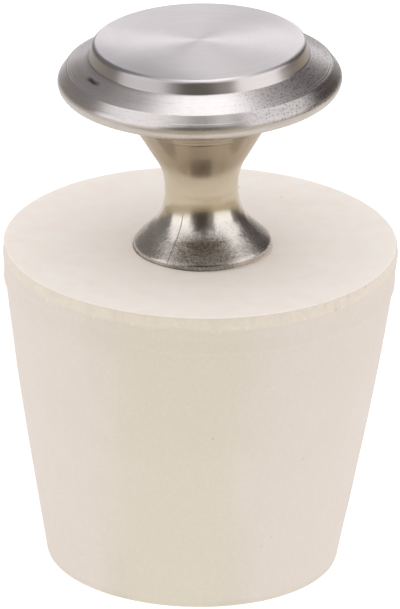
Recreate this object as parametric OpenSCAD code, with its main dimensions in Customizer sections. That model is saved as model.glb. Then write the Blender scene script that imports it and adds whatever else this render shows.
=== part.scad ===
// Tapered rubber plug for the open end of a pipe, with a metal pull knob.
// The knob is held by one screw that runs up through the rubber.
// Frame: millimetres, +Z up along the plug, origin at the middle of the
// bottom face. The knob leans towards -X.

/* [Plug] */
// Diameter of the upright band at the top of the rubber
plug_top_d = 44.7; // [41:0.1:52]
// Diameter of the bottom edge of the rubber
plug_bottom_d = 33.1; // [29.1:0.5:37.1]
// Height of the rubber
plug_h = 38; // [34:1:44]
// How far the side bows out past a straight taper
side_bow = 0.35; // [0:0.05:0.8]
// Height of the worn upright band round the top edge
rim_band = 1.1; // [0.6:0.1:2]
// How much smaller the top face is than the band, on the radius
rim_draw = 0.1; // [0.05:0.05:0.4]
// How far the screw draws the middle of the top face down
top_dish = 0.5; // [0.3:0.05:0.8]
// Size of the small break on the bottom edge
bottom_break = 0.15; // [0.05:0.05:1]

/* [Hole through the rubber] */
// Diameter of the clearance hole for the screw
hole_d = 5; // [4.4:0.1:5.6]
// Diameter of the recess for the screw head and washer
recess_d = 13; // [12.4:0.2:16]
// Depth of the recess, from the middle of the bottom face
recess_h = 5.5; // [5:0.1:6]

/* [Knob] */
// Largest diameter of the head, across the bead
knob_d = 32; // [31:0.5:34]
// Height from the base of the foot to the top of the disc
knob_h = 24.95; // [24.75:0.1:25.65]
// Diameter of the raised disc on top of the head
disc_d = 24.9; // [24.5:0.1:25]
// Diameter of the crease where the disc's wall meets the flange
crease_d = 25.1; // [24.8:0.1:26]
// Height of the crease above the base of the foot
crease_z = 23.2; // [23:0.1:23.4]
// Radius of the disc's rounded edge
disc_edge_r = 0.6; // [0.4:0.1:0.8]
// Length of the coned wall below that edge
disc_wall_l = 1.1; // [0.8:0.05:1.15]
// Radius of the upper half of the bead round the flange
bead_top_r = 1; // [0.9:0.05:1.2]
// Radius of the lower half of the bead
bead_low_r = 1.3; // [1.1:0.1:1.5]
// Height of the widest line of the bead
bead_z = 20.3; // [20.1:0.05:20.5]
// Length of the narrow cone between the bead and the flange's slope
bead_face_l = 1.2; // [0.8:0.1:1.4]
// Slope of the head's underside, in degrees
under_slope = 25; // [20:1:30]
// Diameter of the waist
waist_d = 8.3; // [7.7:0.1:9]
// Height of the lower end of the straight waist
waist_z = 6.8; // [6.5:0.1:7.2]
// Length of the straight waist
waist_l = 0.6; // [0.2:0.1:1]
// Radius of the curve from the waist up to the neck
neck_r = 6.8; // [5.5:0.1:7.5]
// Angle of the straight neck from the axis, in degrees
neck_slope = 30.5; // [27:0.5:33]
// Radius of the curve from the waist down to the foot
flare_r = 6; // [5.6:0.1:6.4]
// Angle at which the flare turns into the foot's straight cone, in degrees
flare_turn = 45.5; // [43:0.5:46]
// Diameter of the foot
foot_d = 15.6; // [15.2:0.1:16]
// Height of the foot's upright lip
lip_h = 0.62; // [0.3:0.02:0.64]
// Depth of the blind tapped hole in the foot
tapped_h = 9; // [8.6:0.2:11]

/* [How the knob sits] */
// Lean of the knob and its screw away from the plug's axis, in degrees
knob_lean = 2.3; // [0:0.1:3]
// Offset of the foot's middle from the plug's axis
knob_shift = 0.25; // [0:0.05:0.6]
// Depth of the foot's base below the rim of the top face
knob_sink = 0.5; // [0.5:0.05:0.8]

/* [Screw and washer] */
// Thread diameter of the screw
screw_d = 4; // [3:0.5:4]
// Length of the screw under its head
screw_l = 40; // [38:1:41]
// Diameter of the screw's pan head
screw_head_d = 8; // [7:0.1:8.4]
// Height of the screw's pan head
screw_head_h = 2.9; // [2.4:0.1:3.1]
// Outside diameter of the washer
washer_d = 12; // [9:0.5:12]
// Inside diameter of the washer
washer_hole_d = 4.3; // [4.2:0.1:5]
// Thickness of the washer
washer_t = 1; // [0.8:0.1:1.2]

/* [Hidden] */
$fn = 96;

// Points along an arc in the r-z plane, from angle a to angle b
function arc(c, r, a, b, n) = [for (i = [0:n]) let (t = a + (b - a) * i / n) [c[0] + r * cos(t), c[1] + r * sin(t)]];

// Radius of the rubber's side at height fraction t, bowed most above the middle
top_r = plug_top_d / 2;
bottom_r = plug_bottom_d / 2;
band_t = 1 - rim_band / plug_h;
function side_r(t) = let (q = pow(t / band_t, 1.2)) bottom_r + (top_r - bottom_r) * t / band_t + side_bow * 4 * q * (1 - q);
// Height of the dished top face at radius r
face_r = top_r - rim_draw;
function face_z(r) = plug_h - top_dish * (1 - pow(r / face_r, 2));

// Everything held by the screw shares one leaning axis through the foot
module on_knob_axis() {
    translate([knob_shift, 0, plug_h - knob_sink]) rotate([0, -knob_lean, 0]) children();
}
// Height of the washer's upper face on that axis, below the foot's base
seat_drop = round(1000 * (plug_h - knob_sink - recess_h) / cos(knob_lean)) / 1000;

// Solid rubber, moulded in one piece with its through hole and recess
module rubber_plug() {
    steps = 24;
    break_t = bottom_break / plug_h;
    color([0.90, 0.86, 0.81])
    difference() {
        rotate_extrude() polygon(concat(
            [[0, 0], [side_r(break_t) - bottom_break, 0]],
            [for (i = [0:steps]) let (t = break_t + (band_t - break_t) * i / steps) [side_r(t), plug_h * t]],
            [[top_r - rim_draw * 0.4, plug_h - rim_draw * 3], [face_r - rim_draw, plug_h]],
            [for (i = [7:-1:0]) let (r = (face_r - rim_draw) * i / 8) [r, face_z(r) - 0.02]]
        ));
        on_knob_axis() {
            // Seat pressed into the rubber by the foot
            cylinder(d = foot_d, h = 6);
            // Clearance hole for the screw
            translate([0, 0, -plug_h - 4]) cylinder(d = hole_d, h = plug_h + 6);
            // Recess for the washer and the screw head
            translate([0, 0, -plug_h - 4]) cylinder(d = recess_d, h = plug_h + 4 - seat_drop);
        }
    }
}

// Profile of the knob, from the middle of its base round to its top
waist_r = waist_d / 2;
foot_r = foot_d / 2;
bead_tc = [knob_d / 2 - bead_top_r, bead_z];
bead_lc = [knob_d / 2 - bead_low_r, bead_z];
// Lower end of the flare's curve, and the foot's cone from there to the lip
flare_p = [waist_r + flare_r * (1 - cos(flare_turn)), waist_z - flare_r * sin(flare_turn)];
lip_roll = 0.16;
cone_z = flare_p[1] - (foot_r - lip_roll - flare_p[0]) / tan(flare_turn);
// Top end of the curve above the waist
neck_p = [waist_r + neck_r * (1 - cos(neck_slope)), waist_z + waist_l + neck_r * sin(neck_slope)];
// Where the underside leaves the bead
under_p = [bead_lc[0] + bead_low_r * sin(under_slope), bead_lc[1] - bead_low_r * cos(under_slope)];
// Corner where the neck's line meets the underside's line, then a fillet
corner_r = (neck_p[0] + tan(neck_slope) * (under_p[1] - tan(under_slope) * under_p[0] - neck_p[1])) / (1 - tan(neck_slope) * tan(under_slope));
corner_z = under_p[1] - (under_p[0] - corner_r) * tan(under_slope);
under_fillet = 3;
turn = 90 - neck_slope - under_slope;
fillet_t = under_fillet * tan(turn / 2);
fillet_c = [corner_r + fillet_t * cos(under_slope) + under_fillet * sin(under_slope),
            corner_z + fillet_t * sin(under_slope) - under_fillet * cos(under_slope)];
// Angle at which the bead's curve ends, and the cone from there to the flange's slope
bead_turn = 36;
face_p = [bead_tc[0] + bead_top_r * cos(bead_turn) - bead_face_l * sin(bead_turn),
          bead_tc[1] + bead_top_r * sin(bead_turn) + bead_face_l * cos(bead_turn)];

// The disc's wall leans in as a cone, up to the rounded edge of its top
wall_turn = 19;
edge_c = [disc_d / 2 - disc_wall_l * sin(wall_turn) - disc_edge_r * cos(wall_turn), knob_h - disc_edge_r];
wall_z = edge_c[1] + disc_edge_r * sin(wall_turn) - disc_wall_l * cos(wall_turn);

// One-piece die-cast knob: foot, waist, flange with its bead, raised disc
module knob() {
    color([0.74, 0.73, 0.72])
    on_knob_axis() difference() {
        rotate_extrude() polygon(concat(
            [[0, 0], [foot_r - 0.1, 0], [foot_r, 0.1]],
            [[foot_r, min(lip_h, cone_z - 0.02) - 0.06], [foot_r - 0.05, min(lip_h, cone_z - 0.02)]],
            [[foot_r - lip_roll, cone_z]],
            arc([waist_r + flare_r, waist_z], flare_r, 180 + flare_turn, 180, 16),
            [[waist_r, waist_z + waist_l]],
            arc([waist_r + neck_r, waist_z + waist_l], neck_r, 176, 180 - neck_slope, 7),
            arc(fillet_c, under_fillet, 180 - neck_slope, 90 + under_slope, 6),
            arc(bead_lc, bead_low_r, under_slope - 90, 0, 10),
            arc(bead_tc, bead_top_r, 5, bead_turn, 8),
            [face_p, [crease_d / 2, crease_z]],
            [[disc_d / 2, wall_z]],
            arc(edge_c, disc_edge_r, wall_turn, 90, 9),
            [[0, knob_h]]
        ));
        // Blind tapped hole, at the thread's outside diameter
        translate([0, 0, -1]) cylinder(d = screw_d, h = tapped_h + 1);
        translate([0, 0, -0.01]) cylinder(d1 = screw_d + 1, d2 = screw_d, h = 0.5);
        translate([0, 0, tapped_h - 0.01]) cylinder(d1 = screw_d, d2 = 0.4, h = 1.1);
    }
}

// Pan head machine screw with a cross recess, its head in the recess below
module machine_screw() {
    dome = 1.1;
    seat = -seat_drop - washer_t;
    color([0.70, 0.70, 0.69])
    on_knob_axis() translate([0, 0, seat]) difference() {
        rotate_extrude() polygon(concat(
            [[0, -screw_head_h]],
            [for (i = [1:8]) let (a = 90 * i / 8) [
                (screw_head_d / 2 - dome) * sin(min(a, 90)) + dome * (1 - cos(a)),
                -screw_head_h + (screw_head_h - dome * 1.2) * (1 - cos(a)) * 0.9]],
            [[screw_head_d / 2, -0.5], [screw_head_d / 2 - 0.15, 0], [screw_d / 2, 0]],
            [[screw_d / 2, screw_l - 0.6], [screw_d / 2 - 0.6, screw_l], [0, screw_l]]
        ));
        // Cross recess in the head
        for (a = [45, 135]) rotate([0, 0, a])
            translate([-2.1, -0.45, -screw_head_h - 0.5]) cube([4.2, 0.9, 2.2]);
        translate([0, 0, -screw_head_h - 0.01]) cylinder(d1 = 2.6, d2 = 1.6, h = 2);
    }
}

// Large flat washer under the screw head
module washer() {
    color([0.76, 0.76, 0.74])
    on_knob_axis() translate([0, 0, -seat_drop - washer_t]) difference() {
        rotate_extrude() polygon([
            [0, 0], [washer_d / 2, 0], [washer_d / 2, washer_t - 0.15],
            [washer_d / 2 - 0.15, washer_t], [0, washer_t]]);
        translate([0, 0, -1]) cylinder(d = washer_hole_d, h = washer_t + 2);
    }
}

rubber_plug();
knob();
machine_screw();
washer();
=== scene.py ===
import math

import bpy
import numpy as np
from mathutils import Matrix, Vector


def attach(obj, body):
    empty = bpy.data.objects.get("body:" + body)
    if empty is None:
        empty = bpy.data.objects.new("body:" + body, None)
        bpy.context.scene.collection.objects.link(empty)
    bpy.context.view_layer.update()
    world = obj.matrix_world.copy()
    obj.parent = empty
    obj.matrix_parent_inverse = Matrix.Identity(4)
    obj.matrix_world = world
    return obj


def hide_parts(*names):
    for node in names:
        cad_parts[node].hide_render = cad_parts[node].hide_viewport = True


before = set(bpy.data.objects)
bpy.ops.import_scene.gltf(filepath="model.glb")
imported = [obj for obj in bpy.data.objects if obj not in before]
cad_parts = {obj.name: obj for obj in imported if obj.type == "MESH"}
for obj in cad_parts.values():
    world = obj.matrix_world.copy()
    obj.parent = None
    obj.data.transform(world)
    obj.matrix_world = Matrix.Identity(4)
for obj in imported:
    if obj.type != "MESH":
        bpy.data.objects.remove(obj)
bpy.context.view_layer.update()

MM = 0.001
TAU = 2 * math.pi

# ---------------------------------------------------------------- sizes, as in part.scad (mm)
PLUG_H, TOP_R, BOT_R = 38.0, 22.35, 16.55
BAND, DRAW, DISH, BOW = 1.1, 0.1, 0.5, 0.35
HOLE_R, RECESS_R, RECESS_H = 2.5, 6.5, 5.5
LEAN = math.radians(2.3)
SHIFT, SINK = 0.25, 0.5
KNOB_R, KNOB_H, DISC_R = 16.0, 24.95, 12.45
DISC_EDGE = 24.8                   # the disc is crowned very slightly, from here up to KNOB_H
CREASE_R, CREASE_Z = 12.55, 23.2
BEAD_TOP, BEAD_LOW, BEAD_Z, UNDER = 1.0, 1.3, 20.3, math.radians(25)
BEAD_TURN, BEAD_FACE = math.radians(36), 1.2
WAIST_R, WAIST_Z, WAIST_L, NECK_R, NECK = 4.15, 6.8, 0.6, 6.8, math.radians(30.5)
FLARE_R, FLARE_TURN, FOOT_R, LIP_H, LIP_ROLL = 6.0, math.radians(45.5), 7.8, 0.62, 0.16
TAPPED_H, THREAD_R, SCREW_L = 9.0, 2.0, 40.0
HEAD_R, HEAD_H = 4.0, 2.9
WASHER_R, WASHER_HOLE_R, WASHER_T = 6.0, 2.15, 1.0
SEAT_DROP = round((PLUG_H - SINK - RECESS_H) / math.cos(LEAN), 3)
TILT = math.radians(0.68)          # the rubber's top face isn't quite square to its axis

BASE = np.array([SHIFT, 0.0, PLUG_H - SINK])
EX = np.array([math.cos(LEAN), 0.0, math.sin(LEAN)])
AX = np.array([-math.sin(LEAN), 0.0, math.cos(LEAN)])


def on_axis(verts):
    """From the knob's own upright frame to where it leans on the plug, both in mm."""
    v = np.asarray(verts, float)
    return BASE + np.outer(v[:, 0], EX) + np.outer(v[:, 1], [0, 1, 0]) + np.outer(v[:, 2], AX)


# ---------------------------------------------------------------- smooth noise, seeded
def wave_noise(seed, terms, low, high):
    """A smooth periodic function of angle: a sum of sines with seeded phases."""
    rng = np.random.default_rng(seed)
    k = rng.integers(low, high, terms)
    p = rng.uniform(0, TAU, terms)
    a = rng.normal(0, 1, terms) / np.sqrt(terms)
    return lambda t: sum(a[i] * np.sin(k[i] * t + p[i]) for i in range(terms))


def grid_noise(seed, n, m):
    """Value noise on an n by m grid, periodic in u, both arguments 0..1."""
    g = np.random.default_rng(seed).normal(0, 1, (n, m + 2))

    def f(u, v):
        x = (np.asarray(u) % 1.0) * n
        y = np.clip(np.asarray(v), 0, 1) * m
        x, y = np.broadcast_arrays(x, y)
        i, j = np.floor(x).astype(int), np.floor(y).astype(int)
        a, b = x - i, y - j
        a, b = a * a * (3 - 2 * a), b * b * (3 - 2 * b)
        i1 = (i + 1) % n
        i = i % n
        j1 = np.minimum(j + 1, m + 1)
        return (g[i, j] * (1 - a) + g[i1, j] * a) * (1 - b) + (g[i, j1] * (1 - a) + g[i1, j1] * a) * b

    return f


# ---------------------------------------------------------------- mesh helpers
def new_mesh(name, verts_mm, faces, smooth=True):
    me = bpy.data.meshes.new(name)
    me.from_pydata([tuple(v) for v in np.asarray(verts_mm) * MM], [], faces)
    me.validate()
    ob = bpy.data.objects.new(name, me)
    bpy.context.scene.collection.objects.link(ob)
    me.polygons.foreach_set("use_smooth", [smooth] * len(me.polygons))
    me.update()
    return ob


def ring_faces(n, rings, first=0, closed=False, flip=False):
    out = []
    last = rings if closed else rings - 1
    for i in range(last):
        a, b = first + i * n, first + ((i + 1) % rings) * n
        for j in range(n):
            k = (j + 1) % n
            f = (a + j, a + k, b + k, b + j)
            out.append(f[::-1] if flip else f)
    return out


def arc(c, r, a, b, n):
    return [(c[0] + r * math.cos(t), c[1] + r * math.sin(t)) for t in np.linspace(a, b, n + 1)]


def mark_sharp(ob, degrees):
    """Edges steeper than this keep a crisp line; the rest are shaded smooth."""
    me = ob.data
    me.set_sharp_from_angle(angle=math.radians(degrees))


# ---------------------------------------------------------------- node helpers
class Tree:
    def __init__(self, tree):
        self.t = tree
        self.t.nodes.clear()

    def n(self, kind, **inputs):
        node = self.t.nodes.new(kind)
        props = inputs.pop("props", {})
        for k, v in props.items():
            setattr(node, k, v)
        for k, v in inputs.items():
            sock = node.inputs[int(k[1:])] if k[0] == "i" and k[1:].isdigit() else node.inputs[k.replace("_", " ")]
            self.put(sock, v)
        return node

    def put(self, sock, v):
        if isinstance(v, bpy.types.NodeSocket):
            self.t.links.new(v, sock)
        elif isinstance(v, bpy.types.Node):
            self.t.links.new(v.outputs[0], sock)
        else:
            sock.default_value = v

    def math(self, op, a, b=None, c=None, clamp=False):
        node = self.t.nodes.new("ShaderNodeMath")
        node.operation = op
        node.use_clamp = clamp
        self.put(node.inputs[0], a)
        if b is not None:
            self.put(node.inputs[1], b)
        if c is not None:
            self.put(node.inputs[2], c)
        return node.outputs[0]

    def step(self, v, a, b, lo=0.0, hi=1.0, smooth=True):
        node = self.t.nodes.new("ShaderNodeMapRange")
        node.interpolation_type = "SMOOTHSTEP" if smooth else "LINEAR"
        node.clamp = True
        for i, x in enumerate((v, a, b, lo, hi)):
            self.put(node.inputs[i], x)
        return node.outputs[0]

    def mix(self, f, a, b, kind="MIX"):
        node = self.t.nodes.new("ShaderNodeMix")
        node.data_type = "RGBA"
        node.blend_type = kind
        self.put(node.inputs[0], f)
        for sock, v in ((node.inputs[6], a), (node.inputs[7], b)):
            self.put(sock, v if not isinstance(v, tuple) or len(v) == 4 else (*v, 1.0))
        return node.outputs[2]

    def fmix(self, f, a, b):
        node = self.t.nodes.new("ShaderNodeMix")
        node.data_type = "FLOAT"
        self.put(node.inputs[0], f)
        self.put(node.inputs[2], a)
        self.put(node.inputs[3], b)
        return node.outputs[0]

    def noise(self, vec, scale, detail=2.0, rough=0.5, dist=0.0, dims="3D"):
        node = self.t.nodes.new("ShaderNodeTexNoise")
        node.noise_dimensions = dims
        if dims == "1D":
            self.put(node.inputs["W"], vec)
        else:
            self.put(node.inputs["Vector"], vec)
        self.put(node.inputs["Scale"], scale)
        self.put(node.inputs["Detail"], detail)
        self.put(node.inputs["Roughness"], rough)
        self.put(node.inputs["Distortion"], dist)
        return node.outputs[0]

    def voronoi(self, vec, scale, feature="F1", rand=1.0):
        node = self.t.nodes.new("ShaderNodeTexVoronoi")
        node.feature = feature
        self.put(node.inputs["Vector"], vec)
        self.put(node.inputs["Scale"], scale)
        self.put(node.inputs["Randomness"], rand)
        return node

    def xyz(self, x, y, z):
        return self.n("ShaderNodeCombineXYZ", i0=x, i1=y, i2=z).outputs[0]


def material(name):
    m = bpy.data.materials.new(name)
    m.use_nodes = True
    return m, Tree(m.node_tree)


def srgb(r, g, b):
    f = lambda c: (c / 255 / 12.92) if c / 255 <= 0.04045 else ((c / 255 + 0.055) / 1.055) ** 2.4
    return (f(r), f(g), f(b), 1.0)


# ---------------------------------------------------------------- rubber
def side_r(z):
    t = np.asarray(z, float) / PLUG_H
    bt = 1 - BAND / PLUG_H
    q = np.power(np.clip(t / bt, 0, 1), 1.2)
    return BOT_R + (TOP_R - BOT_R) * t / bt + BOW * 4 * q * (1 - q)


def make_rubber():
    n = 384
    th = np.arange(n) / n * TAU
    u = th / TAU
    ex, ax, base = EX, AX, BASE
    circ = np.outer(np.cos(th), ex) + np.outer(np.sin(th), [0, 1, 0])
    warp = grid_noise(11, 9, 4)
    face_r = TOP_R - DRAW

    def height(x, y):
        r = np.hypot(x, y)
        z = PLUG_H - DISH * (1 - (r / face_r) ** 2) + math.tan(TILT) * x
        a = np.arctan2(y, x) / TAU
        return z + 0.025 * warp(a, r / 24)

    def axis_ring(r, drop):
        return base + circ * r - ax * drop

    def up_to(r, fn):
        """Points of the leaning cylinder of radius r where it meets a height z = fn(x, y)."""
        p = base + circ * r
        t = np.zeros(n)
        for _ in range(12):
            q = p + np.outer(t, ax)
            t += (fn(q[:, 0], q[:, 1]) - q[:, 2]) / ax[2]
        return p + np.outer(t, ax)

    rings, band = [], []

    def add(p, b=0.0):
        rings.append(p)
        band.append(np.broadcast_to(np.asarray(b, float), (n,)).copy())

    # seat for the foot, then its soft lip
    add(axis_ring(HOLE_R, 0))
    for r in (3.4, 4.6, 6.0, 7.2):
        add(axis_ring(r, 0))
    seat_r = FOOT_R + 0.02
    add(axis_ring(seat_r, 0))
    for k in (0.35, 0.7):
        p = up_to(seat_r, lambda x, y: height(x, y) - 0.09)
        q = axis_ring(seat_r, 0)
        add(q + (p - q) * k)
    for dr, dz in ((0.0, 0.09), (0.03, 0.04), (0.09, 0.008), (0.2, 0.0)):
        add(up_to(seat_r + dr, lambda x, y: height(x, y) - dz))
    inner = rings[-1].copy()

    # top face, from the lip out to the rim
    edge_wave = wave_noise(5, 9, 2, 23)
    fine_wave = wave_noise(6, 14, 20, 90)
    face_edge = face_r - 0.12 + 0.02 * edge_wave(th) + 0.008 * fine_wave(th)
    outer_xy = np.stack([face_edge * np.cos(th), face_edge * np.sin(th)], 1)
    m = 62
    for i in range(1, m + 1):
        f = i / m
        xy = inner[:, :2] * (1 - f) + outer_xy * f
        add(np.column_stack([xy, height(xy[:, 0], xy[:, 1])]))

    # worn band: the taper is cut back to an uneven upright face
    band_wave = wave_noise(8, 7, 2, 9)
    nick_wave = wave_noise(9, 22, 24, 120)
    front_left = np.exp(-((((th - math.radians(238) + math.pi) % TAU) - math.pi) / math.radians(40)) ** 2)
    right = np.exp(-((((th + math.pi) % TAU) - math.pi) / math.radians(48)) ** 2)
    cut = TOP_R - 0.055 - 0.055 * front_left + 0.06 * right - 0.012 * np.cos(th + math.pi) + 0.016 * band_wave(th) + 0.006 * nick_wave(th)

    top_z = height(outer_xy[:, 0], outer_xy[:, 1])
    tiltz = math.tan(TILT) * TOP_R * np.cos(th)
    for dr, dz, b in ((0.05, 0.012, 0.35), (0.09, 0.045, 0.8), (0.115, 0.1, 1.0)):
        r = face_edge + dr
        add(np.column_stack([r * np.cos(th), r * np.sin(th), top_z - dz]), b)
    levels = np.concatenate([np.linspace(0.18, 2.6, 40), np.linspace(2.75, 4.4, 10)])
    for dz in levels:
        z = PLUG_H - dz + tiltz * max(0.0, 1 - dz / 6.0)
        full = side_r(z - tiltz * 0.55 * max(0.0, 1 - dz / 6.0))
        trimmed = cut - 0.11 * np.clip(1.1 - dz, 0, 2)
        # soft minimum, so the arris between them is a little rubbed
        s = 0.012
        d = np.clip((trimmed - full) / (2 * s), -1, 1)
        r = np.minimum(full, trimmed) - s * 0.25 * (1 - np.abs(d)) ** 2
        r = np.maximum(r, face_edge)
        b = np.clip((full - trimmed) / 0.02, 0, 1)
        add(np.column_stack([r * np.cos(th), r * np.sin(th), z]), b)

    # tapered side
    side_warp = grid_noise(21, 14, 10)
    for z in np.linspace(PLUG_H - 4.6, 0.9, 72):
        fade = min(1.0, (PLUG_H - 4.4 - z) / 4.0, z / 3.0)
        r = side_r(z) - 0.012 * max(fade, 0) * (1 + side_warp(u, z / PLUG_H))
        add(np.column_stack([r * np.cos(th), r * np.sin(th), np.full(n, z)]))
    foot_wave = wave_noise(31, 10, 3, 30)
    for dr, z in ((0.0, 0.6), (0.0, 0.4), (0.0, 0.25), (0.03, 0.12), (0.09, 0.035), (0.16, 0.0)):
        r = side_r(z) - dr - (0.012 * (1 + foot_wave(th)) if z < 0.3 else 0.0)
        add(np.column_stack([r * np.cos(th), r * np.sin(th), np.full(n, z)]))
    outer = rings[-1][:, :2]

    # flat bottom in to the recess, up its wall, across its floor and up the screw hole
    mouth = up_to(RECESS_R, lambda x, y: np.zeros_like(x))
    for f in np.linspace(0, 1, 14)[1:-1]:
        xy = outer * (1 - f) + mouth[:, :2] * f
        add(np.column_stack([xy, np.zeros(n)]))
    add(np.column_stack([up_to(RECESS_R + 0.18, lambda x, y: np.zeros_like(x))[:, :2], np.zeros(n)]))
    add(up_to(RECESS_R + 0.05, lambda x, y: np.zeros_like(x) + 0.05))
    wall_low = up_to(RECESS_R, lambda x, y: np.zeros_like(x) + 0.2)
    wall_top = axis_ring(RECESS_R, SEAT_DROP)
    for f in (0, 0.25, 0.5, 0.75, 1.0):
        add(wall_low * (1 - f) + wall_top * f)
    for r in (5.4, 4.2, 3.2, HOLE_R):
        add(axis_ring(r, SEAT_DROP))
    for f in np.linspace(0, 1, 14)[1:-1]:
        add(axis_ring(HOLE_R, SEAT_DROP * (1 - f)))

    count = len(rings)
    ob = new_mesh("rubber_body", np.concatenate(rings), ring_faces(n, count, closed=True, flip=True))
    attr = ob.data.attributes.new("band", "FLOAT", "POINT")
    attr.data.foreach_set("value", np.concatenate(band).astype(np.float32))
    mark_sharp(ob, 38)
    return ob


# ---------------------------------------------------------------- knob
def knob_profile():
    """Half section of the knob in (r, z, zone); zone 0 satin cast metal, 1 turned face."""
    tc, lc = (KNOB_R - BEAD_TOP, BEAD_Z), (KNOB_R - BEAD_LOW, BEAD_Z)
    flare = (WAIST_R + FLARE_R * (1 - math.cos(FLARE_TURN)), WAIST_Z - FLARE_R * math.sin(FLARE_TURN))
    cone_z = flare[1] - (FOOT_R - LIP_ROLL - flare[0]) / math.tan(FLARE_TURN)
    top_z = WAIST_Z + WAIST_L
    neck = (WAIST_R + NECK_R * (1 - math.cos(NECK)), top_z + NECK_R * math.sin(NECK))
    under = (lc[0] + BEAD_LOW * math.sin(UNDER), lc[1] - BEAD_LOW * math.cos(UNDER))
    cr = (neck[0] + math.tan(NECK) * (under[1] - math.tan(UNDER) * under[0] - neck[1])) / (1 - math.tan(NECK) * math.tan(UNDER))
    cz = under[1] - (under[0] - cr) * math.tan(UNDER)
    uf = 3.0
    ft = uf * math.tan((math.pi / 2 - NECK - UNDER) / 2)
    fc = (cr + ft * math.cos(UNDER) + uf * math.sin(UNDER), cz + ft * math.sin(UNDER) - uf * math.cos(UNDER))
    face = (tc[0] + BEAD_TOP * math.cos(BEAD_TURN) - BEAD_FACE * math.sin(BEAD_TURN), tc[1] + BEAD_TOP * math.sin(BEAD_TURN) + BEAD_FACE * math.cos(BEAD_TURN))
    slope = math.atan2(face[1] - CREASE_Z, face[0] - CREASE_R)

    pts = []

    def put(ps, zone=0):
        for p in ps:
            if not pts or math.hypot(pts[-1][0] - p[0], pts[-1][1] - p[1]) > 0.004:
                pts.append((p[0], p[1], zone))

    def line(a, b, n, zone=0):
        put([(a[0] + (b[0] - a[0]) * i / n, a[1] + (b[1] - a[1]) * i / n) for i in range(n + 1)], zone)

    # blind hole, base of the foot, upright lip with a small roll on its top edge
    put([(0.02, TAPPED_H + 1.0), (THREAD_R * 0.5, TAPPED_H + 0.55), (THREAD_R, TAPPED_H)])
    line((THREAD_R, TAPPED_H), (THREAD_R, 0.5), 10)
    put([(THREAD_R + 0.5, 0.0)])
    line((THREAD_R + 0.6, 0.0), (FOOT_R - 0.12, 0.0), 6)
    put(arc((FOOT_R - 0.12, 0.12), 0.12, -math.pi / 2, 0, 4))
    line((FOOT_R, 0.2), (FOOT_R, LIP_H - 0.12), 3)
    p0, p1, p2 = (FOOT_R, LIP_H - 0.12), (FOOT_R, LIP_H + 0.04), (FOOT_R - LIP_ROLL, cone_z)
    put([((1 - t) ** 2 * p0[0] + 2 * t * (1 - t) * p1[0] + t * t * p2[0], (1 - t) ** 2 * p0[1] + 2 * t * (1 - t) * p1[1] + t * t * p2[1]) for t in np.linspace(0, 1, 9)])
    # cone, flare, waist, neck, underside
    line((FOOT_R - LIP_ROLL, cone_z), flare, 14)
    put(arc((WAIST_R + FLARE_R, WAIST_Z), FLARE_R, math.pi + FLARE_TURN, math.pi, 40))
    line((WAIST_R, WAIST_Z), (WAIST_R, top_z), 5)
    put(arc((WAIST_R + NECK_R, top_z), NECK_R, math.pi, math.pi - NECK, 26))
    a1 = math.pi - NECK
    f0 = (fc[0] + uf * math.cos(a1), fc[1] + uf * math.sin(a1))
    line(neck, f0, 8)
    put(arc(fc, uf, a1, math.pi / 2 + UNDER, 14))
    line(pts[-1][:2], under, 14)
    # bead, fuller above its widest line than below it
    put(arc(lc, BEAD_LOW, UNDER - math.pi / 2, 0, 24))
    put(arc(tc, BEAD_TOP, 0, BEAD_TURN, 26), 1)
    # narrow cone above the bead, with a fine step where it begins and a soft one where it ends
    rim = pts[-1][:2]
    nx, nz = math.cos(BEAD_TURN), math.sin(BEAD_TURN)
    for f in np.linspace(0.0, 1.0, 27)[1:]:
        d = 0.012 * math.exp(-((f * BEAD_FACE - 0.10) / 0.06) ** 2)
        put([(rim[0] + (face[0] - rim[0]) * f + nx * d, rim[1] + (face[1] - rim[1]) * f + nz * d)], 1)
    top = face
    # turned slope of the flange, with fine tool rings next to the bead
    run = [(top[0] + (CREASE_R - top[0]) * f, top[1] + (CREASE_Z - top[1]) * f) for f in np.linspace(0.0, 1.0, 60)]
    nx, nz = math.cos(math.pi / 2 + slope), math.sin(math.pi / 2 + slope)
    out = []
    for r, z in run:
        d = 0.0
        for c, w, h in TOOL_RINGS:
            d += h * math.exp(-((r - top[0] - c) / w) ** 2)
        out.append((r + nx * d, z + nz * d))
    put(out, 1)
    # sharp crease, disc's wall and its tight rounded edge
    ec = (DISC_R - WALL_L * math.sin(WALL_TURN) - EDGE_R * math.cos(WALL_TURN), DISC_EDGE - EDGE_R)
    w1 = (ec[0] + EDGE_R * math.cos(WALL_TURN), ec[1] + EDGE_R * math.sin(WALL_TURN))
    w0 = (DISC_R, w1[1] - WALL_L * math.cos(WALL_TURN))
    line((CREASE_R - 0.04, CREASE_Z + 0.03), (w0[0] + 0.01, w0[1] - 0.06), 5, 1)
    line((w0[0] - 0.02, w0[1] + 0.04), w1, 10, 1)
    put(arc(ec, EDGE_R, WALL_TURN, math.pi / 2, 26), 1)
    # turned top
    put([(ec[0] - ec[0] * f, KNOB_H - (KNOB_H - DISC_EDGE) * (1 - f) ** 2) for f in np.linspace(0.0, 0.998, 90)[1:]], 1)
    return pts


TOOL_RINGS = ((-0.02, 0.06, -0.020), (-0.34, 0.05, -0.014), (-0.60, 0.045, -0.012))
EDGE_R, WALL_L, WALL_TURN = 0.6, 1.1, math.radians(19)


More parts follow.
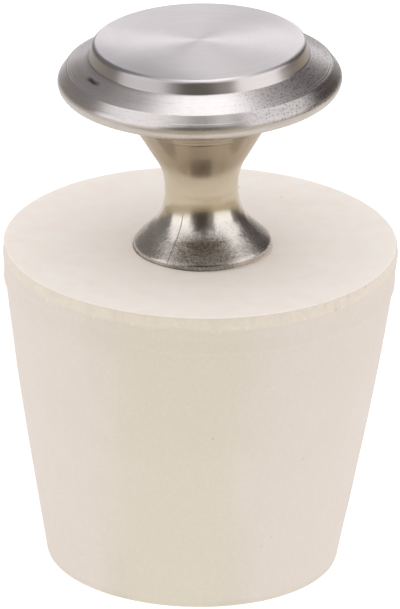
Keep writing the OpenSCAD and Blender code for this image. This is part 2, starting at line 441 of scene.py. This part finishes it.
def make_knob():
    pts = knob_profile()
    seams = [math.radians(241), math.radians(61)]        # mould parting line, front left and its opposite
    base = np.arange(320) / 320 * TAU
    extra = [s + d for s in seams for d in np.radians([-1.2, -0.9, -0.65, -0.45, -0.3, -0.15, 0.0, 0.15, 0.3, 0.45, 0.65, 0.9, 1.2])]
    keep = [a for a in base if all(abs((a - s + math.pi) % TAU - math.pi) > math.radians(1.35) for s in seams)]
    th0 = np.sort(np.mod(np.concatenate([keep, extra]), TAU))
    n = len(th0)
    r = np.array([p[0] for p in pts])
    z = np.array([p[1] for p in pts])
    zone = np.array([p[2] for p in pts])
    # outward normal of the section
    dr, dz = np.gradient(r), np.gradient(z)
    ln = np.hypot(dr, dz) + 1e-12
    nr, nz = dz / ln, -dr / ln
    first_out = int(np.argmax(r >= FOOT_R - 0.001))
    along = np.concatenate([[0], np.cumsum(np.hypot(np.diff(r), np.diff(z)))])
    along -= along[first_out]
    verts = []
    lump = grid_noise(41, 18, 22)
    wavy = grid_noise(43, 34, 20)
    peel = grid_noise(42, 110, 70)
    for i in range(len(r)):
        # the parting line isn't quite straight: it runs off to the left towards the lip
        th = th0 - math.radians(0.2) * max(0.0, min(5.6, 6.0 - z[i])) * (i >= first_out)
        d = np.zeros(n)
        if i >= first_out and zone[i] == 0 and z[i] < 17.5:
            # cast body: a slight unevenness, stronger towards the foot, and flash along the parting line
            w = min(1.0, max(0.0, (z[i] - 0.3) / 0.5))
            low = max(0.0, min(1.0, (6.2 - z[i]) / 3.4))
            u = th0 / TAU
            d += w * (0.008 * lump(u, z[i] / 18) + 0.010 * low * wavy(u, along[i] / 22) + 0.0035 * low * peel(u, along[i] / 22))
            for s, amp in zip(seams, (0.020, 0.016)):
                off = (th0 - s + math.pi) % TAU - math.pi
                wide = 0.045 / max(r[i], 1)
                line_h = np.exp(-(off / wide) ** 2) - 0.6 * np.exp(-((off - 1.7 * wide) / wide) ** 2)
                d += w * amp * max(0.0, min(1.0, (6.0 - z[i]) / 1.5)) * line_h
            d = np.minimum(d, FOOT_R - r[i])
        rr = r[i] + nr[i] * d
        zz = z[i] + nz[i] * d
        verts.append(np.column_stack([rr * np.cos(th), rr * np.sin(th), zz]))
    rings = len(verts)
    vs = np.concatenate(verts)
    faces = ring_faces(n, rings)
    mats = []
    for i in range(rings - 1):
        mats += [int(zone[i] == 1 and zone[i + 1] == 1)] * n
    # close both ends on the axis
    bottom, topc = len(vs), len(vs) + 1
    vs = np.vstack([vs, [[0, 0, TAPPED_H + 1.0]], [[0, 0, KNOB_H]]])
    for j in range(n):
        k = (j + 1) % n
        faces.append((bottom, k, j))
        mats.append(0)
        a = (rings - 1) * n
        faces.append((topc, a + j, a + k))
        mats.append(1)
    ob = new_mesh("pull_knob", on_axis(vs), faces)
    ob.data.polygons.foreach_set("material_index", mats)
    mark_sharp(ob, 42)
    return ob


# ---------------------------------------------------------------- screw and washer
def make_screw():
    """M4 pan head screw: a real 0.7 mm pitch thread, and a cross recess pressed into the head."""
    n = 48
    th = np.arange(n) / n * TAU
    pitch, depth = 0.7, 0.43
    seat = -SEAT_DROP - WASHER_T
    verts = []
    # thread, from the tip down to the head
    zs = np.arange(SCREW_L, 0.9, -pitch / 8)
    for z in zs:
        ph = (z / pitch - th / TAU) % 1.0
        tri = 1 - np.abs(2 * ph - 1)
        prof = np.clip(tri * 1.25 - 0.06, 0, 1)
        start = np.clip((SCREW_L - z) / 1.2, 0, 1)
        end = np.clip((z - 0.9) / 1.0, 0, 1)
        rr = THREAD_R - depth + depth * prof
        rr = np.minimum(rr, THREAD_R - depth + depth * start + 0.12 * start)
        rr = np.minimum(rr, THREAD_R - 0.01)
        rr = rr * end + (THREAD_R - 0.22) * (1 - end)
        verts.append(np.column_stack([rr * np.cos(th), rr * np.sin(th), np.full(n, z + seat)]))
    for r, z in ((THREAD_R - 0.22, 0.45), (THREAD_R - 0.16, 0.12), (THREAD_R - 0.02, 0.0)):
        verts.append(np.column_stack([r * np.cos(th), r * np.sin(th), np.full(n, z + seat)]))
    rings = len(verts)
    vs = np.concatenate(verts)
    faces = ring_faces(n, rings, flip=True)
    tip = len(vs)
    vs = np.vstack([vs, [[0, 0, SCREW_L + seat]]])
    faces += [(tip, j, (j + 1) % n) for j in range(n)]
    # head: a finer ring grid, open to nothing because its underside closes on the shank's root
    m = 240
    ph = np.arange(m) / m * TAU
    h = []
    for r in (THREAD_R - 0.02, 2.6, 3.3, HEAD_R - 0.12):
        h.append((r, 0.0))
    h += [(HEAD_R - 0.03, -0.04), (HEAD_R, -0.14), (HEAD_R, -0.6), (HEAD_R, -1.05)]
    for t in np.linspace(0, math.pi / 2, 26)[1:]:
        h.append((HEAD_R - 1.5 + 1.5 * math.cos(t), -1.05 - (HEAD_H - 1.05) * math.sin(t) * 0.93))
    flat = h[-1][0]
    for f in np.linspace(0, 1, 60)[1:-1]:
        r = flat * (1 - f) + 0.015
        h.append((r, -HEAD_H + (HEAD_H - 1.05) * 0.07 * (r / flat) ** 2))
    head = []
    for r, z in h:
        x, y = r * np.cos(ph), r * np.sin(ph)
        dz = np.zeros(m)
        if z < -1.2:
            a, b = (x + y) / math.sqrt(2), (x - y) / math.sqrt(2)
            arms = np.maximum(np.clip((0.50 - np.abs(a)) / 0.10, 0, 1) * np.clip((2.15 - np.abs(b)) / 0.45, 0, 1), np.clip((0.50 - np.abs(b)) / 0.10, 0, 1) * np.clip((2.15 - np.abs(a)) / 0.45, 0, 1))
            cone = np.clip((1.15 - np.hypot(x, y)) / 0.35, 0, 1)
            dz = 1.7 * np.maximum(arms, cone)
        head.append(np.column_stack([x, y, z + dz + seat]))
    first = len(vs)
    vs = np.vstack([vs, np.concatenate(head)])
    faces += ring_faces(m, len(head), first=first, flip=True)
    c = len(vs)
    vs = np.vstack([vs, [[0, 0, -HEAD_H + 1.7 + seat]]])
    a = first + (len(head) - 1) * m
    faces += [(c, a + (j + 1) % m, a + j) for j in range(m)]
    ob = new_mesh("pan_head_screw", on_axis(vs), faces)
    # join the shank's last ring to the head's first, so the screw is one closed skin
    import bmesh
    bm = bmesh.new()
    bm.from_mesh(ob.data)
    bm.verts.ensure_lookup_table()
    bm.edges.ensure_lookup_table()
    loops = [e for e in bm.edges if e.is_boundary]
    bmesh.ops.bridge_loops(bm, edges=loops)
    bmesh.ops.recalc_face_normals(bm, faces=bm.faces)
    bm.to_mesh(ob.data)
    bm.free()
    ob.data.polygons.foreach_set("use_smooth", [True] * len(ob.data.polygons))
    mark_sharp(ob, 40)
    return ob


def make_washer():
    """Stamped washer: rolled edge on one side, sheared edge on the other."""
    n = 160
    th = np.arange(n) / n * TAU
    t, ro, ri = WASHER_T, WASHER_R, WASHER_HOLE_R
    prof = [(ri + 0.18, 0), (3.2, 0), (4.6, 0), (ro - 0.05, 0)]
    prof += [(ro, 0.05), (ro, 0.4), (ro - 0.012, 0.7)]
    prof += [(ro - 0.2 + 0.19 * math.cos(a), t - 0.2 + 0.2 * math.sin(a)) for a in np.linspace(0, math.pi / 2, 7)]
    prof += [(4.6, t), (3.2, t), (ri + 0.05, t), (ri, t - 0.05), (ri, 0.5)]
    prof += [(ri + 0.18 - 0.18 * math.cos(a), 0.18 - 0.18 * math.sin(a)) for a in np.linspace(0, math.pi / 2, 5)[:-1]]
    wob = wave_noise(61, 6, 2, 7)
    rings = []
    for r, z in prof:
        rr = r - 0.006 * (1 + wob(th)) * (r > 5)
        rings.append(np.column_stack([rr * np.cos(th), rr * np.sin(th), np.full(n, z - SEAT_DROP - WASHER_T)]))
    ob = new_mesh("flat_washer", on_axis(np.concatenate(rings)), ring_faces(n, len(rings), closed=True))
    mark_sharp(ob, 40)
    return ob


# ---------------------------------------------------------------- materials
def rubber_material():
    m, t = material("moulded_rubber")
    co = t.n("ShaderNodeTexCoord").outputs["Object"]
    sep = t.n("ShaderNodeSeparateXYZ", i0=co)
    x, y, z = sep.outputs
    band = t.n("ShaderNodeAttribute", props={"attribute_name": "band"}).outputs["Fac"]
    geo = t.n("ShaderNodeNewGeometry")
    up = t.n("ShaderNodeSeparateXYZ", i0=geo.outputs["Normal"]).outputs[2]

    big = t.noise(co, 90.0, 3.0, 0.55)
    mid = t.noise(co, 420.0, 3.0, 0.6)
    fine = t.noise(co, 2600.0, 3.0, 0.65)
    grain = t.noise(co, 9000.0, 2.0, 0.6)

    side = srgb(213, 204, 192)
    side_warm = srgb(217, 207, 197)
    top = srgb(252, 242, 234)
    stain = srgb(226, 215, 200)
    col = t.mix(t.step(big, 0.38, 0.64), side, side_warm)
    # painted light: the top face takes a lighter copy of the rubber's colour, keyed to faces that point up
    col = t.mix(t.step(up, 0.6, 0.95), col, t.mix(t.step(mid, 0.35, 0.66), top, srgb(253, 246, 238)))
    # painted shade: the side is painted darker towards the bottom, and darker still along its lowest edge
    low = t.math("MULTIPLY", t.step(z, 0.020, 0.002, 0.0, 0.32), t.step(up, 0.6, 0.4))
    col = t.mix(t.math("ADD", low, t.step(z, 0.0011, 0.0003, 0.0, 0.4)), col, srgb(196, 188, 171))
    # painted light and shade: the front of the side, on the camera's side, is painted a little darker and yellower, and
    # the flanks lighter and pinker
    azim = t.math("ARCTAN2", x, t.math("MULTIPLY", y, -1.0))
    streak = t.noise(t.xyz(t.math("MULTIPLY", azim, 3.0), t.math("MULTIPLY", z, 6.0), 0.4), 2.2, 3.0, 0.5)
    off = t.math("ABSOLUTE", t.math("ADD", azim, t.math("MULTIPLY_ADD", streak, 0.24, -0.02)))
    flat = t.step(t.math("ABSOLUTE", up), 0.6, 0.4)
    painted_front_shade = t.math("MULTIPLY", t.step(off, 0.46, 0.14), flat)
    col = t.mix(t.math("MULTIPLY", painted_front_shade, 0.75), col, srgb(212, 203, 186))
    painted_flank_light = t.math("MULTIPLY", t.step(off, 0.36, 0.62), flat)
    col = t.mix(t.math("MULTIPLY", painted_flank_light, 0.55), col, srgb(220, 208, 200))
    # handling marks on the top face, faint and broad
    smudge_and_shade = t.math("MULTIPLY", t.step(t.noise(co, 160.0, 4.0, 0.6, 0.6), 0.54, 0.74), t.step(up, 0.6, 0.95))
    col = t.mix(t.math("MULTIPLY", smudge_and_shade, 0.35), col, srgb(243, 232, 218))
    # fine powdery grain
    col = t.mix(t.math("MULTIPLY", t.step(fine, 0.42, 0.72), 0.10), col, srgb(243, 236, 228))
    col = t.mix(t.math("MULTIPLY", t.step(grain, 0.55, 0.8), 0.10), col, srgb(206, 193, 178))
    # worn, yellowed band with a darker lower arris
    patch = t.noise(co, 700.0, 4.0, 0.65)
    bmask = t.math("MULTIPLY", t.math("MULTIPLY", band, t.step(z, 0.0362, 0.0368)), t.step(patch, 0.32, 0.60, 0.35, 1.0))
    col = t.mix(t.math("MULTIPLY", bmask, 0.80), col, stain)
    scuff = t.math("MULTIPLY", t.step(t.noise(co, 1150.0, 4.0, 0.7, 0.6), 0.56, 0.70), t.math("MULTIPLY", band, t.step(azim, 0.25, 0.70)))
    col = t.mix(t.math("MULTIPLY", scuff, 0.65), col, srgb(205, 180, 160))
    rub = t.math("MULTIPLY", t.step(t.noise(co, 1700.0, 3.0, 0.6), 0.55, 0.75), band)
    col = t.mix(t.math("MULTIPLY", rub, 0.45), col, srgb(238, 229, 216))
    # sparse dark specks and pale ones, each a grain in its own cell
    def specks(scale, size, density, seed):
        v = t.voronoi(t.n("ShaderNodeVectorMath", i0=co, i1=(seed, seed * 0.7, -seed), props={"operation": "ADD"}).outputs[0], scale)
        near = t.step(v.outputs["Distance"], size, size * 0.45)
        pick = t.step(t.n("ShaderNodeSeparateColor", i0=v.outputs["Color"]).outputs[0], density, density - 0.01)
        return t.math("MULTIPLY", near, pick)
    dark = specks(420.0, 0.08, 0.05, 0.31)
    dark2 = specks(900.0, 0.14, 0.03, 0.77)
    pale = specks(620.0, 0.11, 0.04, 0.13)
    col = t.mix(t.math("MULTIPLY", dark, 0.55), col, srgb(164, 146, 128))
    col = t.mix(t.math("MULTIPLY", dark2, 0.35), col, srgb(176, 160, 140))
    col = t.mix(t.math("MULTIPLY", pale, 0.40), col, srgb(246, 240, 232))

    rough = t.math("ADD", t.step(mid, 0.3, 0.7, 0.66, 0.82), t.math("MULTIPLY", band, 0.06))
    # bump: mould texture, pits and flow marks
    h = t.math("MULTIPLY", fine, 0.5)
    h = t.math("ADD", h, t.math("MULTIPLY", grain, 0.22))
    h = t.math("ADD", h, t.math("MULTIPLY", mid, 0.9))
    h = t.math("SUBTRACT", h, t.math("MULTIPLY", dark, 1.6))
    h = t.math("SUBTRACT", h, t.math("MULTIPLY", t.math("MULTIPLY", band, t.noise(co, 3600.0, 4.0, 0.7)), 0.9))
    bump = t.n("ShaderNodeBump", Strength=0.55, Distance=0.000035, Height=h)
    b = t.n("ShaderNodeBsdfPrincipled", Base_Color=col, Roughness=rough, Normal=bump.outputs[0])
    b.inputs["IOR"].default_value = 1.5
    b.inputs["Specular IOR Level"].default_value = 0.32
    b.inputs["Subsurface Weight"].default_value = 0.06
    b.inputs["Subsurface Radius"].default_value = (0.9, 0.6, 0.4)
    b.inputs["Subsurface Scale"].default_value = 0.0008
    out = t.n("ShaderNodeOutputMaterial")
    t.t.links.new(b.outputs[0], out.inputs[0])
    return m


def knob_coords(t):
    """Object coordinates turned into the knob's own upright frame, still in metres."""
    co = t.n("ShaderNodeTexCoord").outputs["Object"]
    back = Matrix.Rotation(LEAN, 3, "Y") @ Vector(BASE * MM)
    m = t.n("ShaderNodeMapping", Vector=co)
    m.inputs["Location"].default_value = tuple(-back)
    m.inputs["Rotation"].default_value = (0.0, LEAN, 0.0)
    return m.outputs[0]


def radial(t, co):
    x, y, z = t.n("ShaderNodeSeparateXYZ", i0=co).outputs
    r = t.math("SQRT", t.math("ADD", t.math("MULTIPLY", x, x), t.math("MULTIPLY", y, y)))
    a = t.math("ARCTAN2", y, x)
    q = t.math("MAXIMUM", r, 0.00005)
    return x, y, z, r, a, t.math("DIVIDE", x, q), t.math("DIVIDE", y, q)


def outward(t, dirx, diry):
    """Down and away from the knob's axis, in world space: across the grooves that run round it."""
    c, s = math.cos(LEAN), math.sin(LEAN)
    v = t.xyz(t.math("MULTIPLY_ADD", dirx, c, s), diry, t.math("MULTIPLY_ADD", dirx, s, -c))
    return t.n("ShaderNodeVectorTransform", i0=v, props={"vector_type": "VECTOR", "convert_from": "OBJECT", "convert_to": "WORLD"}).outputs[0]


def turned_material():
    """Lathe-turned, nickel plated face: fine concentric cuts, a little chatter."""
    m, t = material("turned_nickel")
    co = knob_coords(t)
    x, y, z, r, a, dirx, diry = radial(t, co)
    rr = t.math("MULTIPLY", r, 1000.0)                 # mm
    # cuts: almost constant along the angle, quick along the radius
    cuts = t.noise(t.xyz(t.math("MULTIPLY", rr, 6.0), t.math("MULTIPLY", dirx, 0.5), t.math("MULTIPLY", diry, 0.5)), 1.0, 5.0, 0.72)
    fine = t.noise(t.xyz(t.math("MULTIPLY", rr, 16.0), t.math("MULTIPLY", dirx, 3.0), t.math("MULTIPLY", diry, 3.0)), 1.0, 3.0, 0.7)
    dash = t.noise(t.xyz(t.math("MULTIPLY", rr, 11.0), t.math("MULTIPLY", dirx, 10.0), t.math("MULTIPLY", diry, 10.0)), 1.0, 3.0, 0.6)
    slope = t.step(rr, 12.5, 12.7)                     # 0 on the disc, 1 on the flange
    cloud = t.noise(co, 260.0, 3.0, 0.5)
    pits = t.noise(co, 3800.0, 3.0, 0.6)
    base = t.mix(t.step(cuts, 0.3, 0.72), srgb(219, 213, 214), srgb(229, 224, 225))
    base = t.mix(t.math("MULTIPLY", t.step(dash, 0.54, 0.72), t.math("MULTIPLY_ADD", slope, 0.30, 0.06)), base, srgb(176, 170, 170))
    # painted shade: a faint darker patch on the left front of the disc, in place of a dimmer reflection there
    across = t.math("ADD", t.math("MULTIPLY", x, -750.0), t.math("MULTIPLY", y, -650.0))
    smudge_and_shade = t.math("MULTIPLY", t.step(t.math("MULTIPLY_ADD", cloud, 2.4, across), 5.6, 12.2), t.math("SUBTRACT", 1.0, slope))
    base = t.mix(t.math("MULTIPLY", smudge_and_shade, 0.50), base, srgb(150, 148, 153))
    # the flange's turned face is speckled, most on the right, and painted darker on its right half as shade; the left
    # stays bright
    shaded_speckled_right = t.step(dirx, 0.15, 0.75)
    speck = t.math("MULTIPLY", t.step(pits, 0.52, 0.64), t.math("MULTIPLY", slope, t.math("MULTIPLY_ADD", shaded_speckled_right, 0.62, 0.10)))
    base = t.mix(t.math("MULTIPLY", t.math("MULTIPLY", shaded_speckled_right, slope), 0.35), base, srgb(150, 145, 144))
    base = t.mix(speck, base, srgb(120, 114, 112))
    # a short dark rub mark on the flange
    da = t.math("ABSOLUTE", t.math("SUBTRACT", a, math.radians(-151)))
    dr = t.math("ABSOLUTE", t.math("SUBTRACT", rr, t.math("MULTIPLY_ADD", dash, 0.8, 13.15)))
    mark = t.math("MULTIPLY", t.step(da, 0.13, 0.03), t.step(dr, 0.34, 0.12))
    base = t.mix(t.math("MULTIPLY", mark, 0.85), base, srgb(74, 70, 68))
    rough = t.math("ADD", t.step(cuts, 0.25, 0.75, 0.25, 0.32), t.math("MULTIPLY", fine, 0.04))
    rough = t.math("ADD", rough, t.math("MULTIPLY", t.step(cloud, 0.35, 0.7), 0.03))
    h = t.math("ADD", t.math("MULTIPLY", cuts, 0.34), t.math("MULTIPLY", fine, 0.30))
    h = t.math("ADD", h, t.math("MULTIPLY", dash, t.math("MULTIPLY_ADD", slope, 0.35, 0.08)))
    bump = t.n("ShaderNodeBump", Strength=0.5, Distance=0.000007, Height=h)
    b = t.n("ShaderNodeBsdfPrincipled", Base_Color=base, Roughness=rough, Normal=bump.outputs[0], Tangent=outward(t, dirx, diry))
    b.inputs["Metallic"].default_value = 1.0
    b.inputs["Anisotropic"].default_value = 0.74
    out = t.n("ShaderNodeOutputMaterial")
    t.t.links.new(b.outputs[0], out.inputs[0])
    return m


def satin_material():
    """Nickel plate over a zinc casting: soft polish, orange peel towards the foot, faint handling marks, painted shade
    under the head and painted dark reflections on the stem and foot.
    """
    m, t = material("satin_nickel")
    co = knob_coords(t)
    x, y, z, r, a, dirx, diry = radial(t, co)
    zz = t.math("MULTIPLY", z, 1000.0)
    low = t.step(zz, 4.6, 1.6)                         # 1 at the foot
    head = t.step(zz, 14.0, 18.0)                      # 1 on the bead and the disc's edge
    ring = t.noise(t.xyz(t.math("MULTIPLY", zz, 5.0), t.math("MULTIPLY", dirx, 0.9), t.math("MULTIPLY", diry, 0.9)), 1.0, 4.0, 0.65)
    peel = t.noise(co, 2100.0, 3.0, 0.55)
    pits = t.noise(co, 5200.0, 3.0, 0.6)
    soft = t.noise(co, 300.0, 3.0, 0.5)
    cluster = t.step(t.noise(co, 520.0, 2.0, 0.5), 0.50, 0.64)
    base = t.mix(t.step(soft, 0.35, 0.7), srgb(222, 215, 208), srgb(231, 225, 219))
    # the plate has a warm tone on the stem, partly a painted warm reflection, and painted brown shade under the head
    warm_stem_and_reflection = t.math("MULTIPLY", t.step(zz, 4.2, 6.2), t.step(zz, 17.5, 13.0))
    base = t.mix(t.math("MULTIPLY", warm_stem_and_reflection, 0.85), base, srgb(219, 209, 186))
    painted_shade_under_head = t.math("MULTIPLY", t.step(t.math("ADD", zz, t.math("MULTIPLY", soft, 1.6)), 10.2, 12.6), t.step(zz, 19.6, 18.4))
    base = t.mix(t.math("MULTIPLY", painted_shade_under_head, 0.75), base, srgb(172, 156, 132))
    base = t.mix(t.step(zz, 3.0, 1.6, 0.0, 0.25), base, srgb(150, 143, 138))
    # painted dark reflections: two soft dark streaks running down the front of the stem from the underside
    for phi, z0, w in ((-31.0, 15.2, 0.95), (34.0, 15.4, 0.80)):
        dx = t.math("MULTIPLY", t.math("SUBTRACT", dirx, math.sin(math.radians(phi))), 5.6)
        dx = t.math("ADD", dx, t.math("MULTIPLY_ADD", soft, 1.8, -0.9))
        dz = t.math("MULTIPLY", t.math("SUBTRACT", zz, z0), 0.30)
        q = t.math("ADD", t.math("MULTIPLY", dx, dx), t.math("MULTIPLY", dz, dz))
        spot = t.math("MULTIPLY", t.step(q, w * w, 0.05), t.step(diry, 0.1, -0.1))
        base = t.mix(t.math("MULTIPLY", spot, 0.42), base, srgb(112, 98, 78))
    # painted dark reflection: a darker patch low on the front of the foot, facing the camera
    painted_dark_front = t.math("MULTIPLY", t.step(zz, 4.2, 2.6), t.math("MULTIPLY", t.step(diry, -0.80, -0.95), t.step(pits, 0.30, 0.60, 0.55, 1.0)))
    base = t.mix(t.math("MULTIPLY", painted_dark_front, 0.80), base, srgb(118, 111, 104))
    speck = t.math("MULTIPLY", t.step(pits, 0.56, 0.70), t.math("ADD", t.math("MULTIPLY", low, 0.55), t.math("MULTIPLY", cluster, 0.34)))
    base = t.mix(speck, base, srgb(120, 112, 104))
    rough = t.math("ADD", t.step(soft, 0.3, 0.75, 0.20, 0.24), t.math("MULTIPLY", head, 0.16))
    rough = t.math("ADD", rough, t.math("MULTIPLY", low, 0.05))
    rough = t.math("ADD", rough, t.math("MULTIPLY", speck, 0.12))
    h = t.math("MULTIPLY", ring, 0.25)
    h = t.math("ADD", h, t.math("MULTIPLY", peel, t.math("MULTIPLY_ADD", low, 3.2, 0.10)))
    h = t.math("ADD", h, t.math("MULTIPLY", pits, t.math("MULTIPLY_ADD", low, 1.3, 0.05)))
    bump = t.n("ShaderNodeBump", Strength=0.6, Distance=0.000022, Height=h)
    b = t.n("ShaderNodeBsdfPrincipled", Base_Color=base, Roughness=rough, Normal=bump.outputs[0])
    b.inputs["Metallic"].default_value = 1.0
    out = t.n("ShaderNodeOutputMaterial")
    t.t.links.new(b.outputs[0], out.inputs[0])
    return m


def zinc_material(name, tint, ring_scale):
    """Bright zinc plate: milky blue-white bloom, turning or stamping marks, dull spots."""
    m, t = material(name)
    co = knob_coords(t)
    x, y, z, r, a, dirx, diry = radial(t, co)
    cuts = t.noise(t.xyz(t.math("MULTIPLY", r, ring_scale), t.math("MULTIPLY", z, ring_scale), t.math("MULTIPLY", a, 0.3)), 1.0, 4.0, 0.7)
    bloom = t.noise(co, 480.0, 4.0, 0.6)
    spot = t.noise(co, 2200.0, 3.0, 0.6)
    base = t.mix(t.step(bloom, 0.35, 0.68), tint, srgb(190, 193, 197))
    base = t.mix(t.math("MULTIPLY", t.step(spot, 0.60, 0.75), 0.5), base, srgb(128, 126, 124))
    rough = t.math("ADD", t.step(bloom, 0.3, 0.7, 0.24, 0.42), t.math("MULTIPLY", cuts, 0.08))
    h = t.math("ADD", t.math("MULTIPLY", cuts, 0.8), t.math("MULTIPLY", spot, 0.5))
    bump = t.n("ShaderNodeBump", Strength=0.5, Distance=0.00002, Height=h)
    b = t.n("ShaderNodeBsdfPrincipled", Base_Color=base, Roughness=rough, Normal=bump.outputs[0])
    b.inputs["Metallic"].default_value = 1.0
    out = t.n("ShaderNodeOutputMaterial")
    t.t.links.new(b.outputs[0], out.inputs[0])
    return m


# ---------------------------------------------------------------- the pieces
rubber = make_rubber()
rubber.data.materials.append(rubber_material())
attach(rubber, "root")
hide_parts("rubber_plug")

knob = make_knob()
knob.data.materials.append(satin_material())
knob.data.materials.append(turned_material())
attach(knob, "root")
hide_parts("knob")

screw = make_screw()
screw.data.materials.append(zinc_material("screw_zinc", srgb(206, 205, 200), 9000.0))
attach(screw, "root")
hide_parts("machine_screw")

washer = make_washer()
washer.data.materials.append(zinc_material("washer_zinc", srgb(210, 209, 205), 3000.0))
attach(washer, "root")
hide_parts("washer")


# ---------------------------------------------------------------- floor, light and camera
def make_floor():
    me = bpy.data.meshes.new("floor")
    z = -0.00003
    me.from_pydata([(-0.15, -0.06, z), (0.15, -0.06, z), (0.15, 0.4, z), (-0.15, 0.4, z)], [], [(0, 1, 2, 3)])
    ob = bpy.data.objects.new("floor", me)
    bpy.context.scene.collection.objects.link(ob)
    m, t = material("pale_floor")
    b = t.n("ShaderNodeBsdfPrincipled")
    b.inputs["Base Color"].default_value = (0.25, 0.25, 0.25, 1)
    b.inputs["Roughness"].default_value = 0.9
    b.inputs["Specular IOR Level"].default_value = 0.0
    b.inputs["Emission Color"].default_value = (1, 1, 1, 1)
    path = t.n("ShaderNodeLightPath")
    t.t.links.new(t.fmix(path.outputs["Is Glossy Ray"], 0.96, 0.50), b.inputs["Emission Strength"])
    out = t.n("ShaderNodeOutputMaterial")
    t.t.links.new(b.outputs[0], out.inputs[0])
    me.materials.append(m)
    return ob


# What polished metal sees around it: (azimuth from, to, elevation from, to, edge softness, linear colour).
# Azimuth 0 is the camera's side and + is to its right; the later patches lie over the earlier ones.
STUDIO = (
    (-180, 180, -90, 90, 1, (0.22, 0.205, 0.19)),
    (108, 152, -4, 52, 8, (0.07, 0.06, 0.055)),
    (-152, -96, -4, 50, 8, (0.20, 0.19, 0.18)),
    (134, 226, 44, 66, 7, (0.40, 0.39, 0.38)),
    (-26, 26, -90, -44, 6, (0.32, 0.29, 0.25)),
    (24, 164, -34, -3, 4, (0.56, 0.48, 0.36)),
    (-164, -24, -34, -3, 4, (0.52, 0.45, 0.35)),
    (-30, 30, -40, -6, 5, (0.46, 0.39, 0.27)),
    (-22, 17, -4, 38, 5, (0.045, 0.036, 0.026)),
    (-36, 32, 40, 62, 6, (0.95, 0.94, 0.93)),
    (-13, 11, 36, 61, 5, (0.17, 0.16, 0.15)),
    (160, 196, 2, 27, 5, (1.28, 1.27, 1.28)),
    (148, 212, -34, 3, 5, (0.36, 0.34, 0.33)),
    (156, 182, 27, 50, 6, (0.38, 0.37, 0.37)),
    (182, 206, 27, 50, 6, (0.20, 0.20, 0.21)),
    (-90, -34, 0, 26, 5, (1.30, 1.29, 1.28)),
    (38, 92, 0, 26, 5, (1.30, 1.29, 1.28)),
    (-92, -27, 22, 57, 4, (1.12, 1.11, 1.10)),
    (40, 110, 20, 57, 4, (1.10, 1.09, 1.08)),
    (-110, 110, 57, 68, 6, (0.60, 0.59, 0.58)),
    (156, 204, 50, 70, 6, (1.7, 1.7, 1.7)),
    (-180, 180, 68, 120, 7, (1.6, 1.59, 1.58)),
)


def make_world():
    """A light tent: bright roof, a softbox each side of the camera, a pale sweep behind, darker corners between."""
    w = bpy.data.worlds.new("studio")
    bpy.context.scene.world = w
    w.use_nodes = True
    t = Tree(w.node_tree)
    d = t.n("ShaderNodeTexCoord").outputs["Generated"]
    x, y, z = t.n("ShaderNodeSeparateXYZ", i0=d).outputs
    deg = 180 / math.pi
    az = t.math("MULTIPLY", t.math("ARCTAN2", x, t.math("MULTIPLY", y, -1.0)), deg)
    el = t.math("MULTIPLY", t.math("ARCSINE", z), deg)

    # what polished metal sees
    col = None
    for a0, a1, e0, e1, soft, rgb in STUDIO:
        if col is None:
            col = t.n("ShaderNodeRGB")
            col.outputs[0].default_value = (*rgb, 1.0)
            col = col.outputs[0]
            continue
        mask = t.math("MULTIPLY", t.step(el, e0 - soft, e0 + soft), t.step(el, e1 - soft, e1 + soft, 1.0, 0.0))
        if a1 - a0 < 360:
            mid, half = (a0 + a1) / 2, (a1 - a0) / 2
            off = t.math("SUBTRACT", az, mid)
            off = t.math("ABSOLUTE", t.math("WRAP", off, 180.0, -180.0))
            mask = t.math("MULTIPLY", mask, t.step(off, half - soft, half + soft, 1.0, 0.0))
        col = t.mix(mask, col, rgb)

    # what lights the matt rubber: an even tent, a touch dimmer where the camera stands
    aaz = t.math("ABSOLUTE", az)
    dip = t.math("MULTIPLY", t.step(aaz, 60.0, 10.0), t.step(el, 70.0, 40.0))
    soft = t.fmix(dip, 1.06, 0.86)
    soft = t.math("MULTIPLY", soft, t.step(el, 20.0, 85.0, 1.06, 0.86))
    grey = t.xyz(soft, t.math("MULTIPLY", soft, 0.995), t.math("MULTIPLY", soft, t.fmix(dip, 1.01, 0.95)))

    path = t.n("ShaderNodeLightPath")
    col = t.mix(path.outputs["Is Glossy Ray"], grey, col)
    col = t.mix(path.outputs["Is Camera Ray"], col, (1.0, 1.0, 1.0))
    bg = t.n("ShaderNodeBackground", Color=col)
    bg.inputs["Strength"].default_value = 1.0
    out = t.n("ShaderNodeOutputWorld")
    t.t.links.new(bg.outputs[0], out.inputs[0])


def make_camera():
    e, roll, dist = math.radians(23.048), math.radians(1.567), 1.2
    look = Vector((0.000154, 0.0, 0.0301915))
    fwd = Vector((0, math.cos(e), -math.sin(e)))
    cam = bpy.data.cameras.new("camera")
    cam.lens = 625.86
    cam.sensor_width = 36.0
    cam.clip_start = 0.01
    cam.clip_end = 50.0
    ob = bpy.data.objects.new("camera", cam)
    bpy.context.scene.collection.objects.link(ob)
    right = Vector((1, 0, 0))
    up = right.cross(fwd)
    rot = Matrix((right, up, -fwd)).transposed().to_4x4()
    ob.matrix_world = Matrix.Translation(look - fwd * dist) @ rot @ Matrix.Rotation(roll, 4, "Z")
    bpy.context.scene.camera = ob


make_floor()
make_world()
make_camera()
scene = bpy.context.scene
scene.view_settings.view_transform = "Standard"
scene.view_settings.look = "None"
scene.view_settings.exposure = 0.0
